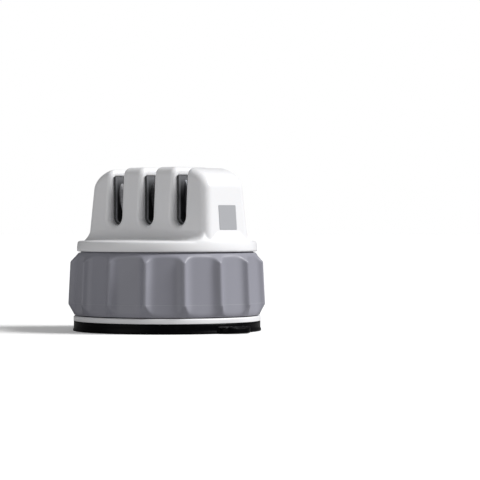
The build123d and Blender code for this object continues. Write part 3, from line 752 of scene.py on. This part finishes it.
lipOutline = [
    (cup["inner"], cup["innerFoot"]), (cup["domeEdge"] - cup["sealEdge"][0], cup["sealEdge"][1]),
    (cup["domeEdge"], 0.0), (cup["lip"] - cup["lipRound"], 0.0), (cup["lip"], cup["lipRound"]),
    (cup["wall"] + cup["wallFoot"][0], cup["lipHeight"]),
    (cup["wall"], cup["lipHeight"] + cup["wallFoot"][1]),
    (cup["wall"], cup["height"]), (cup["inner"], cup["height"]),
]


def cupDistance(x, y, z):
    rim = outlineDistance(lipOutline, np.hypot(x, y), z)
    turn = radians(tab["angle"])
    out = x * cos(turn) + y * sin(turn)
    across = np.abs(y * cos(turn) - x * sin(turn))
    cornerA = np.maximum(out - tab["tip"] + tab["corner"], 0)
    cornerB = np.maximum(across - tab["halfWidth"] + tab["corner"], 0)
    plan = np.maximum(np.hypot(cornerA, cornerB) - tab["corner"], tab["root"] - out)
    rise = np.clip((out - cup["lip"]) / (tab["tip"] - cup["lip"]), 0, 1) * tab["lift"]
    top = tab["top"] + rise
    for place in tab["ribs"]:
        top = top + tab["ribHeight"] * np.exp(-((out - place) / tab["ribHalf"]) ** 2)
    slab = roundedMeet(plan, np.maximum(z - top, rise - z), tab["edge"])
    return np.maximum(roundedJoin(rim, slab, tab["join"]), -z)


def makeRim(c):
    points, faces = skinForm(cupDistance, c["netLow"], c["netHigh"], c["netStep"])
    faces = [tuple(f) for f in faces]
    edge, low, high = c["inner"] + c["skinLap"], c["height"] - c["skin"], c["height"] - c["skinSink"]
    skinPoints, skinFaces = turned([(c["opening"], low), (edge, low), (edge, high), (c["opening"], high)])
    faces += [tuple(n + len(points) for n in f) for f in skinFaces]
    points = np.concatenate([points, np.array(skinPoints)])
    rim = addPiece("cupRim", points, faces, "blackRubber")
    faceOutwards(rim)
    return rim


def makeMembrane(c):
    flat = [(c["domeFlat"], c["domeHeight"]), (c["domeFlatEnd"], c["domeHeight"])]
    under = curved((*flat, c["domeShoulder"], (c["domeEdge"], 0.0)), 20)
    sheet = [(0.0, c["domeHeight"])] + divided(under, c["sheetPiece"])[:-1]
    sheet = [p for p in sheet if p[0] < c["domeEdge"] - c["sheetEnd"]]
    highest = c["height"] - c["sheetRoom"]
    outer = [p for p in reversed(sheet) if p[0] > c["bossRadius"] + c["sheetStart"]]
    upper = [(a, min(b + c["sheet"], highest)) for a, b in outer]
    footLow, footHigh = c["bossFoot"]
    boss = [
        (c["bossRadius"] + c["bossFlare"], c["height"] - footLow), (c["bossRadius"], c["height"] + footHigh),
        (c["bossRadius"], c["bossTop"] - c["bossRound"]), (c["bossRadius"] - c["bossRound"], c["bossTop"]),
        (c["studHole"], c["bossTop"]), (c["studHole"], c["studHeadTop"]), (c["studHead"], c["studHeadTop"]),
        (c["studHead"], c["studFoot"]), (0.0, c["studFoot"]),
    ]
    points, faces = turned(sheet + upper + boss)
    membrane = addPiece("cupMembrane", points, faces, "blackRubber")
    faceOutwards(membrane)
    return membrane


cupRim = makeRim(cup)
cupMembrane = makeMembrane(cup)
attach(cupRim, "body")
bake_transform(cupMembrane)
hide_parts("suction_cup")
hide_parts("suction_cup")
print("suction cup:", len(cupRim.data.polygons), "faces")


# Copies of plain CAD shapes with their edges broken; the angles are in degrees
softening = {"merge": 2e-6, "flat": 0.4, "segments": 2, "sharp": 32.0}


def softenNode(node, name, width, finish, body):
    work = bmesh.new()
    work.from_mesh(nodes[node].data)
    bmesh.ops.remove_doubles(work, verts=work.verts, dist=softening["merge"])
    bmesh.ops.dissolve_limit(
        work, angle_limit=radians(softening["flat"]), verts=work.verts, edges=work.edges,
        use_dissolve_boundaries=False,
    )
    mesh = bpy.data.meshes.new(name)
    work.to_mesh(mesh)
    work.free()
    mesh.materials.clear()
    mesh.materials.append(finishes[finish])
    mesh.shade_smooth()
    piece = linked(name, mesh)
    edge = piece.modifiers.new("edge", "BEVEL")
    edge.width = width * mm
    edge.segments = softening["segments"]
    edge.limit_method = "ANGLE"
    edge.angle_limit = radians(softening["sharp"])
    edge.use_clamp_overlap = True
    even = piece.modifiers.new("even", "WEIGHTED_NORMAL")
    even.keep_sharp = True
    settled = bpy.context.evaluated_depsgraph_get()
    soft = bpy.data.meshes.new_from_object(piece.evaluated_get(settled))
    piece.modifiers.clear()
    piece.data = soft
    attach(piece, body)
    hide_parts(node)


softenNode("base_plate", "basePlate", 0.18, "whitePlastic", "body")
softenNode("cartridge_front", "cartridgeFront", 0.16, "blackPlastic", "body")
softenNode("cartridge_rear", "cartridgeRear", 0.16, "blackPlastic", "body")
softenNode("carbide_blade_front", "carbideFront", 0.05, "brightCarbide", "body")
softenNode("carbide_blade_rear", "carbideRear", 0.05, "brightCarbide", "body")
print("softened copies made")


# Crossed rods with rounded ends
rods = {
    "cross": 43.6, "angle": 20.0, "radius": 1.5, "length": 19.59, "shift": 4.145, "away": 4.5, "edge": 0.4,
    "segments": 40,
}


def makeRod(name, node, x, side, finish):
    half, radius, edge = rods["length"] / 2, rods["radius"], rods["edge"]
    corners = [(0.0, -half, 0.0), (radius, -half, edge), (radius, half, edge), (0.0, half, 0.0)]
    points, faces = turned(roundedOutline(corners), rods["segments"])
    turn = Matrix.Rotation(side * radians(rods["angle"]), 3, "Y")
    middle = Vector((x, side * rods["away"], rods["cross"])) + turn @ Vector((0, 0, rods["shift"]))
    piece = addPiece(name, [turn @ Vector(p) + middle for p in points], faces, finish)
    faceOutwards(piece)
    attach(piece, "body")
    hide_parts(node)


leftSlot, middleSlot = slots["places"][:2]
for end, side in (("Front", -1), ("Rear", 1)):
    makeRod("ceramicRod" + end, "ceramic_rod_" + end.lower(), leftSlot, side, "paleStone")
    makeRod("diamondRod" + end, "diamond_rod_" + end.lower(), middleSlot, side, "darkGrit")
print("rods made")


# CAD shapes that stay get their finishes
nodeFinishes = {
    "innerPlastic": ("core_sleeve", "cam_ring", "lifter"),
    "slipPlastic": ("slip_washers",),
    "screwSteel": (
        "lifter_pins", "stem_stud", "stem_washer", "stem_nut", "base_screws", "head_screws",
        "cartridge_screws",
    ),
}
for finish, names in nodeFinishes.items():
    for name in names:
        slotsOf = nodes[name].material_slots
        if slotsOf:
            slotsOf[0].material = finishes[finish]
        else:
            nodes[name].data.materials.append(finishes[finish])


# Floor, light and camera; floorHalf and clip are in metres, the camera's other lengths in millimetres
studio = {
    "floorSeen": 0.94, "floorGlow": 0.18, "floorBounce": 0.40, "worldSeen": 1.0, "worldLight": 0.13,
    "floorHalf": 6.0,
    "key": {"azimuth": 32.0, "height": 41.0, "spread": 30.0, "power": 3.75},
    "top": {"azimuth": 120.0, "height": 84.0, "spread": 80.0, "power": 0.06},
    "fill": {"azimuth": -96.0, "height": 9.0, "spread": 50.0, "power": 0.79},
}
cameraView = {
    "azimuth": 45.0, "distance": 850.0, "height": 40.0, "lens": 167.7, "right": 1.865, "down": 0.385,
    "sensor": 36.0, "clip": (0.01, 50.0),
}


def grey(tone):
    return (tone, tone, tone, 1.0)


# White paper to the eye; it throws back less light than it shows, like a small sheet on a dark bench
def floorPaper():
    material = bpy.data.materials.new("floorPaper")
    graph = emptied(material)
    shared = {"Roughness": 0.9, "Specular IOR Level": 0.1}
    bounce = graph.node("ShaderNodeBsdfPrincipled", {}, {"Base Color": grey(studio["floorBounce"]), **shared})
    shown = graph.node("ShaderNodeBsdfPrincipled", {}, {
        "Base Color": grey(studio["floorSeen"]), "Emission Color": grey(1.0),
        "Emission Strength": studio["floorGlow"], **shared,
    })
    seen = graph.node("ShaderNodeLightPath", out="Is Camera Ray")
    mixed = graph.node("ShaderNodeMixShader", {}, {0: seen, 1: bounce, 2: shown})
    graph.node("ShaderNodeOutputMaterial", {}, {"Surface": mixed})
    return material


def makeFloor():
    half = studio["floorHalf"]
    corners = [(-half, -half, 0), (half, -half, 0), (half, half, 0), (-half, half, 0)]
    mesh = bpy.data.meshes.new("studioFloor")
    mesh.from_pydata(corners, [], [(0, 1, 2, 3)])
    mesh.materials.append(floorPaper())
    floor = linked("studioFloor", mesh)
    floor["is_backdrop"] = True


def makeLamp(name, lamp):
    data = bpy.data.lights.new(name, "SUN")
    data.angle = radians(lamp["spread"])
    data.energy = lamp["power"]
    turn, rise = radians(lamp["azimuth"]), radians(lamp["height"])
    towards = Vector((cos(turn) * cos(rise), sin(turn) * cos(rise), sin(rise)))
    lampObject = linked(name, data)
    lampObject.location = towards
    lampObject.rotation_euler = (-towards).to_track_quat("-Z", "Y").to_euler()


def makeWorld():
    world = bpy.data.worlds.new("studioWorld")
    bpy.context.scene.world = world
    graph = emptied(world)
    seen = graph.node("ShaderNodeLightPath", out="Is Camera Ray")
    strength = seen * (studio["worldSeen"] - studio["worldLight"]) + studio["worldLight"]
    backdrop = graph.node("ShaderNodeBackground", {}, {"Color": grey(1.0), "Strength": strength})
    graph.node("ShaderNodeOutputWorld", {}, {"Surface": backdrop})


def makeCamera(view):
    data = bpy.data.cameras.new("photoCamera")
    data.lens = view["lens"]
    data.sensor_width = view["sensor"]
    data.clip_start, data.clip_end = view["clip"]
    turn, away = radians(view["azimuth"]), view["distance"]
    heading = Vector((-sin(turn), cos(turn), 0.0))
    heading.rotate(Matrix.Rotation(-radians(view["right"]), 3, "Z"))
    heading.z = -tan(radians(view["down"]))
    camera = linked("photoCamera", data)
    camera.location = Vector((sin(turn) * away, -cos(turn) * away, view["height"])) * mm
    camera.rotation_euler = heading.to_track_quat("-Z", "Y").to_euler()
    bpy.context.scene.camera = camera


makeFloor()
for name in ("key", "top", "fill"):
    makeLamp(name + "Lamp", studio[name])
makeWorld()
makeCamera(cameraView)
bpy.context.scene.view_settings.view_transform = "Standard"
print("studio ready")

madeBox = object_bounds()
lines = ['"' + label + '": ' + str([list(box[0]), list(box[1])])
         for label, box in (("cad", cadBox), ("visual", madeBox))]
"{" + ",\n ".join(lines) + "}\n"
